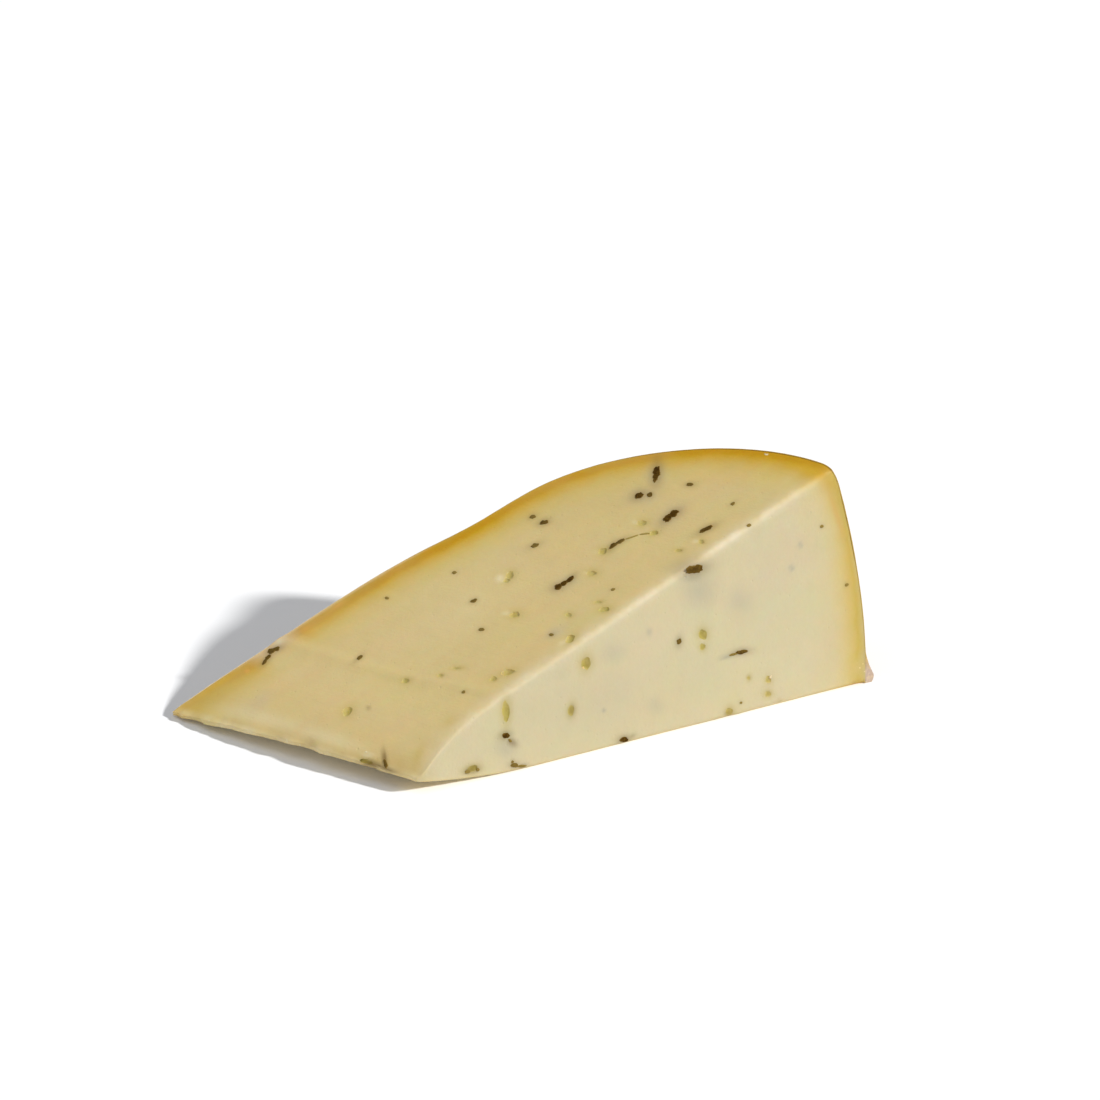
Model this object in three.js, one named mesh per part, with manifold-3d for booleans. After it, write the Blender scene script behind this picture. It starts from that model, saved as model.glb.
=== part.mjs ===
// A portion of truffle gouda: a thin sector of half a round wheel, lying on one of its two radial cuts.
// X runs from the wheel's axis out to the rind, Y from the level cut through the middle of the wheel to its
// flat side, and Z up from the surface that the portion lies on. All lengths are in millimetres.

import * as THREE from "three";
import { mergeVertices } from "three/addons/utils/BufferGeometryUtils.js";
import Module from "manifold-3d";

const SECTOR_ANGLE = THREE.MathUtils.degToRad(21.7); // between the two radial cuts

const wheel = {
  radius: 120,
  halfHeight: 57.8, // from the level cut to the flat side
  shoulderStart: 63, // radius at which the flat side begins to round over
  shoulderShare: 0.6, // part of the quarter round that counts as the side wall
  shoulderPower: 6, // how late the flat side bends down to the shoulder
  dish: { depth: 2.7, radius: 72, width: 14 }, // shallow hollow that pressing left in the flat side
};

// The thin end, where the knife missed the wheel's axis. Each pair is at the level cut and at the flat side.
const tip = {
  distance: [19.5, 3.1], // from the wheel's axis
  lift: [2.9, 0.3], // above the surface
  sweep: -1.2, // how far the middle of the edge bends towards the axis
  arch: 1.3, // how far the middle of the edge rises
  thickness: 0.7,
};

// Beyond a step in the knife's path the upper cut falls more steeply to the thin end.
const facet = {
  length: [19, 23],
  endSlope: [1.25, 0.42], // at the thin end
  stepHeight: 0.25,
  stepWidth: 1.4,
};

const UNDERCUT_LENGTH = 25; // the thin end's underside curves up off the surface over this length

// The coat of the rind stands out as a thin lip at the lowest corner of the level cut.
const coatLip = { bottom: 0.5, top: 3.6, reach: 1.5, tipHeight: 1.2, root: 1.2, length: 8 };

const divisions = { along: 40, across: 18, up: 6 };

const PIT_DEPTH_SHARE = 0.45; // depth of an eye against its breadth
const FLECK_PROUD = 0.25; // height of a truffle fleck above the cut
const FLECK_SINK = 0.6; // how far its underside reaches into the paste
const beadSides = { round: 9, rings: 5 };

// Truffle flecks and eyes. at is X and Y on the upper cut, or X and Z on the level cut; size is length
// and breadth; turn is in degrees from the X direction of that cut.
const flecks = {
  upper: [
    { at: [94.5, 32.5], size: [5.8, 1.7], turn: 56 },
    { at: [88, 29.5], size: [2.4, 1.7], turn: 43 },
    { at: [90, 27.5], size: [1.8, 1.2], turn: 65 },
    { at: [95, 22.5], size: [1.5, 1], turn: 87 },
    { at: [87, 17.5], size: [4, 2.3], turn: 23 },
    { at: [88, 7.5], size: [3, 1.6], turn: 170 },
    { at: [95.5, 9], size: [1.2, 0.9], turn: 66 },
    { at: [75.5, 20], size: [2.6, 1.4], turn: 30 },
    { at: [78.5, 19.5], size: [3, 0.9], turn: 170 },
    { at: [63, 19.5], size: [2.4, 1.6], turn: 36 },
    { at: [66, 18.5], size: [2.8, 1.4], turn: 21 },
    { at: [74, 44], size: [1.6, 1.2], turn: 66 },
    { at: [74, 40.5], size: [2, 1.3], turn: 74 },
    { at: [68.5, 35], size: [2.2, 1.3], turn: 152 },
    { at: [56, 43], size: [1.5, 1], turn: 70 },
    { at: [52.5, 31.5], size: [1.8, 1.2], turn: 65 },
    { at: [48, 21.5], size: [2, 1.3], turn: 83 },
    { at: [54, 7.5], size: [1.7, 1.2], turn: 69 },
    { at: [31, 37], size: [2.2, 1.3], turn: 44 },
    { at: [35.5, 8], size: [1.5, 1], turn: 65 },
    { at: [24, 55.3], size: [2.6, 1.8], turn: 148 },
    { at: [21.5, 53.3], size: [3, 1.4], turn: 32 },
  ],
  level: [
    { at: [80.5, 30.7], size: [4.4, 2.2], turn: 169 },
    { at: [76.5, 17.5], size: [1.7, 1.1], turn: 103 },
    { at: [91, 12.5], size: [3, 1.1], turn: 175 },
    { at: [109, 33.5], size: [1.1, 0.9], turn: 147 },
    { at: [115, 20.5], size: [1.1, 0.9], turn: 147 },
    { at: [39, 7.5], size: [1.8, 1.2], turn: 156 },
    { at: [64.5, 1.8], size: [1.9, 1.1], turn: 160 },
  ],
};
const eyes = {
  upper: [
    { at: [20.5, 24], size: [2.9, 1.8], turn: 61 },
    { at: [31.5, 22], size: [2, 1.3], turn: 74 },
    { at: [60, 32], size: [4.4, 2.9], turn: 59 },
    { at: [54, 20], size: [2.5, 1.6], turn: 89 },
    { at: [69, 16.5], size: [2.1, 1.3], turn: 103 },
    { at: [73, 23.5], size: [2.2, 1.4], turn: 93 },
    { at: [83, 21.5], size: [2.2, 1.4], turn: 93 },
    { at: [59, 10], size: [1.7, 1.1], turn: 82 },
    { at: [63, 4.5], size: [2.2, 1.6], turn: 105 },
    { at: [55.5, 3.2], size: [2.4, 1.8], turn: 45 },
    { at: [43.5, 4.5], size: [2.2, 1.7], turn: 124 },
    { at: [40, 8], size: [1.6, 1.3], turn: 69 },
    { at: [38.5, 16], size: [1.8, 0.9], turn: 122 },
    { at: [85, 5], size: [1.7, 1.1], turn: 82 },
    { at: [17.4, 11.3], size: [4.4, 1.3], turn: 97 },
  ],
  level: [
    { at: [39, 12], size: [4, 1.8], turn: 94 },
    { at: [53, 9.2], size: [2.2, 1.2], turn: 97 },
    { at: [56, 17.5], size: [2.8, 1.8], turn: 87 },
    { at: [82.5, 17.8], size: [2, 1.5], turn: 118 },
    { at: [82, 15], size: [1.5, 1.1], turn: 110 },
    { at: [97, 5.8], size: [1.5, 1.2], turn: 110 },
    { at: [97.5, 3], size: [1.3, 1], turn: 147 },
    { at: [88.5, 1.6], size: [1.5, 1.1], turn: 130 },
    { at: [32, 2.6], size: [2.6, 1.4], turn: 175 },
  ],
};

const { sin, cos, tan, min, max, exp, PI } = Math;
const mix = ([atLevelCut, atFlatSide], share) => atLevelCut + (atFlatSide - atLevelCut) * share;

function halfHeightAt(radius) {
  const { depth, radius: middle, width } = wheel.dish;
  return wheel.halfHeight - depth * exp(-(((radius - middle) / width) ** 2));
}

// The round side of the wheel. share is 0 at the level cut and 1 at the shoulder.
function sideWall(share) {
  const turn = (PI / 2) * (1 - wheel.shoulderShare * share);
  const radius = wheel.shoulderStart + (wheel.radius - wheel.shoulderStart) * sin(turn);
  return { radius, height: halfHeightAt(radius) * cos(turn) };
}

const shoulder = sideWall(1);

// The flat side. share is 0 at the thin end and 1 at the shoulder.
function flatSide(share) {
  const radius = tip.distance[1] + (shoulder.radius - tip.distance[1]) * share;
  const drop = halfHeightAt(shoulder.radius) - shoulder.height;
  return { radius, height: halfHeightAt(radius) - drop * share ** wheel.shoulderPower };
}

const tipDistance = (share) => mix(tip.distance, share) + tip.sweep * sin(PI * share);
const tipLift = (share) => mix(tip.lift, share) + tip.arch * sin(PI * share);

// Radius and height of a point of the radial section: its four borders, blended over the inside.
// along goes from the thin end to the rind, across from the level cut to the flat side.
function sectionPoint(along, across) {
  const end = { radius: tipDistance(across), height: flatSide(0).height * across };
  const wall = sideWall(across);
  const side = flatSide(along);
  const cut = { radius: mix([tip.distance[0], wheel.radius], along), height: 0 };
  const corners = {
    radius: mix([mix(tip.distance, across), mix([wheel.radius, shoulder.radius], across)], along),
    height: across * mix([flatSide(0).height, shoulder.height], along),
  };
  const blend = (name) =>
    mix([end[name], wall[name]], along) + mix([cut[name], side[name]], across) - corners[name];
  return { radius: blend("radius"), height: blend("height"), wallRadius: wall.radius };
}

// Smooth curve between two heights that leaves and meets them at the given slopes.
function easedHeight(share, from, fromSlope, to, toSlope) {
  const s = min(max(share, 0), 1);
  return (
    from * (2 * s ** 3 - 3 * s ** 2 + 1) +
    fromSlope * (s ** 3 - 2 * s ** 2 + s) +
    to * (3 * s ** 2 - 2 * s ** 3) +
    toSlope * (s ** 3 - s ** 2)
  );
}

// Height of the upper cut at a distance from the wheel's axis.
function upperCut(distance, across) {
  const slope = tan(SECTOR_ANGLE);
  const length = mix(facet.length, across);
  const start = tipDistance(across);
  const run = distance - start;
  const step = facet.stepHeight * exp(-(((run - length) / facet.stepWidth) ** 2));
  if (run >= length) return distance * slope + step;
  const bottom = tipLift(across) + tip.thickness;
  const endSlope = mix(facet.endSlope, across) * length;
  return easedHeight(run / length, bottom, endSlope, (start + length) * slope, slope * length) + step;
}

function lowerCut(distance, across) {
  const run = distance - tipDistance(across);
  return tipLift(across) * max(1 - run / UNDERCUT_LENGTH, 0) ** 2;
}

// A point of the portion. up is 0 on the lower cut and 1 on the upper one.
function portionPoint(along, across, up) {
  const { radius, height, wallRadius } = sectionPoint(along, across);
  const turn = up * SECTOR_ANGLE;
  const distance = radius - wallRadius * (1 - cos(turn)) * along;
  const low = lowerCut(distance, across);
  const share = tan(turn) / tan(SECTOR_ANGLE);
  return new THREE.Vector3(distance, height, low + share * (upperCut(distance, across) - low));
}

// Closed surface of a block of cells, with one shared point at each grid corner.
function blockSurface({ along, across, up }, pointAt) {
  const positions = [];
  const index = [];
  const known = new Map();
  const point = (i, j, k) => {
    const key = (i * (across + 1) + j) * (up + 1) + k;
    if (!known.has(key)) {
      known.set(key, known.size);
      positions.push(...pointAt(i / along, j / across, k / up));
    }
    return known.get(key);
  };
  const face = (countA, countB, corner) => {
    for (let a = 0; a < countA; a++)
      for (let b = 0; b < countB; b++) {
        const [p, q, r, s] = [corner(a, b), corner(a + 1, b), corner(a + 1, b + 1), corner(a, b + 1)];
        index.push(p, q, r, p, r, s);
      }
  };
  face(along, across, (a, b) => point(a, b, up));
  face(across, along, (a, b) => point(b, a, 0));
  face(along, up, (a, b) => point(a, 0, b));
  face(up, along, (a, b) => point(b, across, a));
  face(across, up, (a, b) => point(along, a, b));
  face(up, across, (a, b) => point(0, b, a));
  const surface = new THREE.BufferGeometry();
  surface.setAttribute("position", new THREE.Float32BufferAttribute(positions, 3));
  surface.setIndex(index);
  return surface;
}

const wasm = await Module();
wasm.setup();

function solidOf(geometry) {
  const bare = geometry.clone();
  bare.deleteAttribute("normal");
  bare.deleteAttribute("uv");
  const merged = mergeVertices(bare, 1e-4);
  const vertProperties = new Float32Array(merged.attributes.position.array);
  const triVerts = new Uint32Array(merged.index.array);
  return new wasm.Manifold(new wasm.Mesh({ numProp: 3, vertProperties, triVerts }));
}

function geometryOf(solid) {
  const { numProp, vertProperties, triVerts } = solid.getMesh();
  const count = vertProperties.length / numProp;
  const positions = new Float32Array(count * 3);
  for (let i = 0; i < count; i++)
    positions.set(vertProperties.subarray(i * numProp, i * numProp + 3), i * 3);
  const geometry = new THREE.BufferGeometry();
  geometry.setAttribute("position", new THREE.BufferAttribute(positions, 3));
  geometry.setIndex(new THREE.BufferAttribute(new Uint32Array(triVerts), 1));
  return geometry;
}

// Directions of each cut: the lengthwise one, the one across it, and the one out of the paste.
const cuts = {
  upper: {
    place: ([x, y]) => new THREE.Vector3(x, y, upperCut(x, y / wheel.halfHeight)),
    along: new THREE.Vector3(cos(SECTOR_ANGLE), 0, sin(SECTOR_ANGLE)),
    across: new THREE.Vector3(0, 1, 0),
    out: new THREE.Vector3(-sin(SECTOR_ANGLE), 0, cos(SECTOR_ANGLE)),
  },
  level: {
    place: ([x, z]) => new THREE.Vector3(x, 0, z),
    along: new THREE.Vector3(1, 0, 0),
    across: new THREE.Vector3(0, 0, 1),
    out: new THREE.Vector3(0, -1, 0),
  },
};

// An oval bead whose middle lies on a cut, higher on the outside than on the inside where asked.
function bead(cut, { at, size, turn }, outside, inside) {
  const ball = new THREE.SphereGeometry(1, beadSides.round, beadSides.rings);
  const angle = THREE.MathUtils.degToRad(turn);
  const long = cut.along.clone().multiplyScalar(cos(angle)).addScaledVector(cut.across, sin(angle));
  const wide = new THREE.Vector3().crossVectors(cut.out, long);
  const placed = new THREE.Matrix4().makeBasis(
    long.clone().multiplyScalar(size[0] / 2),
    wide.clone().multiplyScalar(size[1] / 2),
    cut.out.clone().multiplyScalar((outside + inside) / 2),
  );
  const middle = cut.place(at).addScaledVector(cut.out, (outside - inside) / 2);
  placed.setPosition(middle);
  return solidOf(ball.applyMatrix4(placed));
}

function lipSolid() {
  const { bottom, top, reach, tipHeight, root, length } = coatLip;
  const outline = new THREE.Shape([
    new THREE.Vector2(-root, bottom),
    new THREE.Vector2(0, bottom),
    new THREE.Vector2(reach, tipHeight),
    new THREE.Vector2(reach * 0.35, (tipHeight + top) / 2),
    new THREE.Vector2(0, top),
    new THREE.Vector2(-root, top),
  ]);
  const strip = new THREE.ExtrudeGeometry(outline, { depth: length, bevelEnabled: false });
  strip.rotateX(PI / 2);
  strip.translate(wheel.radius - reach * 0.1, length, 0);
  return solidOf(strip);
}

function cheeseSolid() {
  let cheese = solidOf(blockSurface(divisions, portionPoint));
  for (const [name, cut] of Object.entries(cuts)) {
    for (const eye of eyes[name]) {
      const depth = eye.size[1] * PIT_DEPTH_SHARE;
      cheese = cheese.subtract(bead(cut, eye, depth, depth));
    }
    for (const fleck of flecks[name])
      cheese = cheese.add(bead(cut, fleck, FLECK_PROUD, FLECK_SINK));
  }
  return cheese.add(lipSolid());
}

const paste = new THREE.MeshStandardMaterial({ color: 0xd3be8a, roughness: 0.55, metalness: 0 });
const wedge = new THREE.Mesh(geometryOf(cheeseSolid()), paste);
wedge.name = "cheese_wedge";

// The portion's origin is the middle of its underside.
wedge.geometry.computeBoundingBox();
const { min: lowest, max: highest } = wedge.geometry.boundingBox;
wedge.position.set(-(lowest.x + highest.x) / 2, -(lowest.y + highest.y) / 2, -lowest.z);

const gouda = new THREE.Group();
gouda.add(wedge);

export default gouda;
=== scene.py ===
import math
import random

import bpy
import numpy as np
from mathutils import Matrix, Vector, noise
from mathutils.bvhtree import BVHTree


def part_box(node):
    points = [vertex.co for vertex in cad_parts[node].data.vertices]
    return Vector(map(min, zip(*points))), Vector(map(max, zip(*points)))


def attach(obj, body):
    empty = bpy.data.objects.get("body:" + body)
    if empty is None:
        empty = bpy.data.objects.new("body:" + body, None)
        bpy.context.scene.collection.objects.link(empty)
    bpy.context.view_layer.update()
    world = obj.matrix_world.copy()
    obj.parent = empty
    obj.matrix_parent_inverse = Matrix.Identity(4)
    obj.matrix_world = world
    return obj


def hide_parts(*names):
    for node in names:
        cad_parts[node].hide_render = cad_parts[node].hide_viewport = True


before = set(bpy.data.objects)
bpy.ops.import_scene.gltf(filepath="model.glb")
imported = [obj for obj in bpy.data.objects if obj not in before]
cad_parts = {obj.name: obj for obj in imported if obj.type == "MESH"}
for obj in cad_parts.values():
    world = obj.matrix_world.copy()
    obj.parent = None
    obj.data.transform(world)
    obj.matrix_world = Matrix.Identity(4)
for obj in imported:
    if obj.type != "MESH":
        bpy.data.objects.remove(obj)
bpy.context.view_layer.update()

mm = 0.001
photoSize = 1100  # pixels, each way
photoMiddle = (560, 630)  # the middle of the cheese in the photo


# the wheel that the portion was cut from, in millimetres; X is the distance from its axis
wheel = {
    "radius": 120.0,
    "halfHeight": 57.8,
    "shoulderStart": 63.0,
    "shoulderShare": 0.6,
    "shoulderPower": 6,
    "dishDepth": 2.7,
    "dishRadius": 72.0,
    "dishWidth": 14.0,
    # how far the flat side is worn in, by distance from the axis
    "sideWear": [(14, 0.0), (24, 0.3), (33, 0.2), (41, 0.25), (48, 0.4), (54, 0.45), (62, 0.38),
                 (72, 0.4), (80, 0.25), (88, 0.12), (96, 0.22), (104, 0.08), (112, 0.0)],
    # how far the round wall sinks in, and how far at its shoulder
    "wallSag": 0.34,
    "shoulderSag": 0.36,
    "sector": math.radians(21.7),
}
# the thin end; pairs are at the level cut and at the flat side
tip = {
    "distance": (20.7, 3.1),
    "lift": (2.65, 0.3),
    "sweep": -1.6,
    "arch": 1.25,
    "thickness": 0.7,
    "facetLength": (17.8, 23.0),
    "facetSlope": (1.25, 0.42),
    "stepHeight": 0.25,
    "stepWidth": 1.4,
    "undercut": 25.0,
}
lipReach = 1.35  # how far the solid's lip stands out past the wheel's radius

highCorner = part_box("cheese_wedge")[1]
axisX = highCorner.x - (wheel["radius"] + lipReach) * mm  # the wheel's axis in the frame
levelY = highCorner.y - wheel["halfHeight"] * mm  # the level cut in the frame
print("frame loaded, wheel axis at x =", round(axisX, 5), "level cut at y =", round(levelY, 5))


def toFrame(points):
    return np.asarray(points, float) * mm + np.array([axisX, levelY, 0.0])


def fromFrame(points):
    return (points - np.array([axisX, levelY, 0.0])) / mm


def pairMix(pair, share):
    return pair[0] + (pair[1] - pair[0]) * share


# 0 at low and below, rising to 1 over the stretch that follows
def shareOver(value, low, stretch):
    return np.clip((value - low) / stretch, 0, 1)


# The wedge as a rule: where a point of the block lies

def halfHeightAt(radius):
    dish = wheel["dishDepth"] * np.exp(-(((radius - wheel["dishRadius"]) / wheel["dishWidth"]) ** 2))
    return wheel["halfHeight"] - dish - np.interp(radius, *zip(*wheel["sideWear"]))


def sideWall(share):
    turn = math.pi / 2 * (1 - wheel["shoulderShare"] * share)
    radius = wheel["shoulderStart"] + (wheel["radius"] - wheel["shoulderStart"]) * np.sin(turn)
    return radius, halfHeightAt(radius) * np.cos(turn)


shoulderRadius, shoulderHeight = (float(v) for v in sideWall(1.0))

# corners that are worn round: where both shown cuts meet the rind, and the thin end's at the flat side
wornCorners = [
    {
        "place": (
            wheel["radius"] * math.cos(wheel["sector"]),
            0.0,
            wheel["radius"] * math.sin(wheel["sector"]),
        ),
        "inwards": (-0.32, 0.58, -0.75),
        "drawIn": 0.6,
        "reach": 3.8,
    },
    {
        "place": (tip["distance"][1], wheel["halfHeight"], tip["thickness"]),
        "inwards": (1.0, -0.45, 0.0),
        "drawIn": 0.3,
        "reach": 3.0,
    },
]


def flatSide(share):
    radius = tip["distance"][1] + (shoulderRadius - tip["distance"][1]) * share
    drop = halfHeightAt(shoulderRadius) - shoulderHeight
    return radius, halfHeightAt(radius) - drop * share ** wheel["shoulderPower"]


def tipDistance(across):
    return pairMix(tip["distance"], across) + tip["sweep"] * np.sin(math.pi * across)


def tipLift(across):
    return pairMix(tip["lift"], across) + tip["arch"] * np.sin(math.pi * across)


# eased from the thin end's height and slope to those of the plain cut, with the step where they meet
def upperCut(distance, across):
    slope = math.tan(wheel["sector"])
    length = pairMix(tip["facetLength"], across)
    start = tipDistance(across)
    run = distance - start
    step = tip["stepHeight"] * np.exp(-(((run - length) / tip["stepWidth"]) ** 2))
    s = np.clip(run / length, 0, 1)
    low = tipLift(across) + tip["thickness"]
    fromTip = low * (2 * s**3 - 3 * s**2 + 1)
    fromTip = fromTip + pairMix(tip["facetSlope"], across) * length * (s**3 - 2 * s**2 + s)
    eased = fromTip + (start + length) * slope * (3 * s**2 - 2 * s**3) + slope * length * (s**3 - s**2)
    return np.where(run >= length, distance * slope, eased) + step


def lowerCut(distance, across):
    run = distance - tipDistance(across)
    return tipLift(across) * np.maximum(1 - run / tip["undercut"], 0) ** 2


def portionPoint(along, across, up):
    wallRadius, wallHeight = sideWall(across)
    sideRadius, sideHeight = flatSide(along)
    endHeight = float(flatSide(0.0)[1])
    endRadius = pairMix(tip["distance"], across)
    cornerRadius = pairMix((endRadius, pairMix((wheel["radius"], shoulderRadius), across)), along)
    cornerHeight = across * pairMix((endHeight, shoulderHeight), along)
    cutRadius = pairMix((tip["distance"][0], wheel["radius"]), along)
    radius = pairMix((tipDistance(across), wallRadius), along) + pairMix((cutRadius, sideRadius), across)
    radius = radius - cornerRadius
    height = pairMix((endHeight * across, wallHeight), along) + sideHeight * across - cornerHeight
    turn = up * wheel["sector"]
    sag = wheel["wallSag"] * np.sin(math.pi * up**1.5)
    sag = sag + wheel["shoulderSag"] * np.sin(math.pi * across) * up**2
    distance = radius - wallRadius * (1 - np.cos(turn)) * along - sag * along**8
    low = lowerCut(distance, across)
    share = np.tan(turn) / math.tan(wheel["sector"])
    rising = low + share * (upperCut(distance, across) - low)
    points = np.stack(np.broadcast_arrays(distance, height, rising), -1)
    for corner in wornCorners:
        away = np.linalg.norm(points - np.array(corner["place"]), axis=-1, keepdims=True)
        worn = np.clip(1 - away / corner["reach"], 0, 1) ** 2 * corner["drawIn"]
        points = points + worn * np.array(corner["inwards"])
    return points


# the wheel's outer outline in radius and height, carried on a little past the axis and the level cut
def rimOutline(steps=160, past=40, beforeAxis=-30.0):
    share = np.linspace(0, 1, steps)
    top = np.stack(flatSide(share), -1)
    wall = np.stack(sideWall(share[::-1]), -1)
    mirrored = wall[::-1][1:past] * np.array([1.0, -1.0])
    return np.concatenate([[[beforeAxis, top[0, 1]]], top, wall[1:], mirrored])


def distanceToOutline(radius, height, outline):
    best = np.full(len(radius), np.inf)
    for (ax, ay), (bx, by) in zip(outline[:-1], outline[1:]):
        dx, dy = bx - ax, by - ay
        t = np.clip(((radius - ax) * dx + (height - ay) * dy) / (dx * dx + dy * dy), 0, 1)
        best = np.minimum(best, np.hypot(radius - ax - t * dx, height - ay - t * dy))
    return best


# smooth noise around 0 for points in metres, with lumps about size metres across
def softNoise(points, size, seed, octaves=2):
    shift = Vector((seed * 13.7, seed * 5.1, seed * 9.3))
    return np.array([noise.fractal(Vector(p) / size + shift, 1.0, 2.0, octaves) for p in points])


# smooth noise for points in millimetres
def plainNoise(points, size):
    return np.array([noise.noise(Vector(p) / size) for p in points])


def newMesh(name, points, faces):
    data = bpy.data.meshes.new(name)
    data.from_pydata([tuple(p) for p in points], [], [tuple(int(i) for i in f) for f in faces])
    return data


def addObject(name, data):
    made = bpy.data.objects.new(name, data)
    bpy.context.scene.collection.objects.link(made)
    return made


def meshFrom(name, points, faces):
    data = newMesh(name, points, faces)
    data.update()
    data.polygons.foreach_set("use_smooth", [True] * len(data.polygons))
    return addObject(name, data)


def setAttribute(piece, name, values):
    layer = piece.data.attributes.get(name) or piece.data.attributes.new(name, "FLOAT", "POINT")
    layer.data.foreach_set("value", np.asarray(values, np.float32))


def vertexArray(data, what="co"):
    values = np.zeros(len(data.vertices) * 3)
    data.vertices.foreach_get(what, values)
    return values.reshape(-1, 3)


# the evaluated piece as a new object with a plain mesh and no modifiers
def plainMesh(piece, name):
    bpy.context.view_layer.update()
    evaluated = piece.evaluated_get(bpy.context.evaluated_depsgraph_get())
    data = bpy.data.meshes.new_from_object(evaluated)
    data.name = name
    made = addObject(name, data)
    bpy.data.objects.remove(piece)
    return made


# The camera stands where the photo's did

view = {
    "azimuth": math.radians(33.858),  # turned from the level cut towards the thin end
    "elevation": math.radians(19.834),
    "place": Vector((-479.79, -723.49, 342.71)) * mm,
    "focalPixels": 5000.0,
    "sensor": 36.0,
    "nearest": 0.05,
    "farthest": 20.0,
    "missStep": 0.005,  # how far a mark just off the edge moves towards the middle
}


def viewAxes():
    a, e = view["azimuth"], view["elevation"]
    back = Vector((-math.sin(a) * math.cos(e), -math.cos(a) * math.cos(e), math.sin(e)))
    right = Vector((math.cos(a), -math.sin(a), 0.0))
    return right, back.cross(right), back


def addCamera():
    data = bpy.data.cameras.new("photoCamera")
    data.sensor_width = view["sensor"]
    data.lens = view["focalPixels"] / photoSize * view["sensor"]
    data.clip_start = view["nearest"]
    data.clip_end = view["farthest"]
    made = addObject("photoCamera", data)
    made.matrix_world = Matrix.Translation(view["place"]) @ Matrix(viewAxes()).transposed().to_4x4()
    bpy.context.scene.camera = made


def pixelRay(x, y):
    right, up, back = viewAxes()
    half = photoSize / 2
    sideways = (x - half) / view["focalPixels"] * right
    return (sideways - (y - half) / view["focalPixels"] * up - back).normalized()


addCamera()


# Body: the paste with its rind, as one dense closed mesh

body = {
    "along": 214,
    "across": 110,
    "up": 60,
    # millimetres that the softened edge reaches in from each kind of edge
    "roundBetweenCuts": 2.2,
    "roundBelow": 0.7,
    "roundTip": 1.0,
    "clearBelow": 4.0,  # the edge between the cuts counts from here on
    "clearRind": 2.0,
    "thin": 3.0,  # what counts as the thin end: its thickness, and how far it reaches
    "thinEnd": 24.0,
    "roundSteps": 9,
    "roundPull": 0.8,
    "roundFlush": 1.5,  # none this close to the rind, where the coat lies flush
    # unevenness of the cuts in metres: size across and height
    "unevenness": [(0.016, 0.00012), (0.0045, 0.00004), (0.0017, 0.00002)],
    # the knife's drag beyond the step: along and across its lines, where it lies and how high it is
    "drag": {"along": 0.028, "across": 0.0019, "height": 0.00004, "turn": 12.7,
             "from": 24.0, "fadeIn": 6, "to": 64.0, "fadeOut": 22, "deepest": 0.5},
    # how far the thin end's outline wanders, by the size of its bends
    "tipBends": [(0.009, 0.0011), (0.0028, 0.0005)],
    "calmByRind": 0.6,  # millimetres beside the rind in which the cuts grow even, so the coat sits flush
    "restingShare": 0.3,  # how much of the unevenness the resting face keeps
    "restingBelow": (0.3, 0.4),  # the resting face: distance to the lower cut and height above the floor
    "bendsBelow": 2.5,  # the thickness under which the thin end wanders
    "sharpAngle": math.radians(38),
    "seed": 3,
}


# closed surface of a block of cells, with one shared point at each grid corner
def blockCells(pointAt, along, across, up):
    ids = np.full((along + 1, across + 1, up + 1), -1, int)
    onSurface = np.zeros(ids.shape, bool)
    for axis in range(3):
        for end in (0, -1):
            face = [slice(None)] * 3
            face[axis] = end
            onSurface[tuple(face)] = True
    cells = np.argwhere(onSurface)
    ids[onSurface] = np.arange(len(cells))
    points = pointAt(cells[:, 0] / along, cells[:, 1] / across, cells[:, 2] / up)

    def quads(sheet):
        return np.stack([sheet[:-1, :-1], sheet[1:, :-1], sheet[1:, 1:], sheet[:-1, 1:]], -1).reshape(-1, 4)

    faces = np.concatenate([
        quads(ids[:, :, -1]), quads(ids[:, :, 0].T), quads(ids[:, 0, :]),
        quads(ids[:, -1, :].T), quads(ids[-1, :, :]), quads(ids[0, :, :].T),
    ])
    return points, faces


# distances in millimetres to the level cut, the upper cut, the lower cut and the rind's outside
def cutDistances(points):
    x, y, z = fromFrame(points).T
    across = np.clip(y / wheel["halfHeight"], 0, 1)
    upper = (upperCut(x, across) - z) * math.cos(wheel["sector"])
    lower = z - lowerCut(x, across)
    rind = distanceToOutline(np.hypot(x, z), y, rimOutline())
    return y, upper, lower, rind


def softenEdges(points, faces):
    level, upper, lower, rind = cutDistances(points)
    gaps = np.abs(np.stack([level, upper, lower, rind]))
    ordered = np.sort(gaps, axis=0)
    nearest = np.argsort(gaps, axis=0)[:2]
    betweenCuts = (nearest < 2).all(axis=0) & (lower > body["clearBelow"]) & (rind > body["clearRind"])
    atTip = (upper + lower < body["thin"]) & (points[:, 0] < axisX + body["thinEnd"] * mm)
    reach = np.where(atTip, body["roundTip"], body["roundBelow"])
    reach = np.where(betweenCuts, body["roundBetweenCuts"], reach)
    flush = np.clip(np.abs(rind) / body["roundFlush"], 0, 1)
    weight = (np.clip(1 - ordered[1] / reach, 0, 1) * flush)[:, None]
    here, after = faces.T.ravel(), np.roll(faces, -1, axis=1).T.ravel()
    a, b = np.concatenate([here, after]), np.concatenate([after, here])
    count = np.bincount(a, minlength=len(points))[:, None]
    for _ in range(body["roundSteps"]):
        sums = [np.bincount(a, weights=points[b, k], minlength=len(points)) for k in range(3)]
        points = points + (np.stack(sums, -1) / count - points) * weight * body["roundPull"]
    return points


def outwardWays(points, faces):
    data = newMesh("scratch", points, faces)
    ways = vertexArray(data, "normal")
    bpy.data.meshes.remove(data)
    return ways


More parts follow.
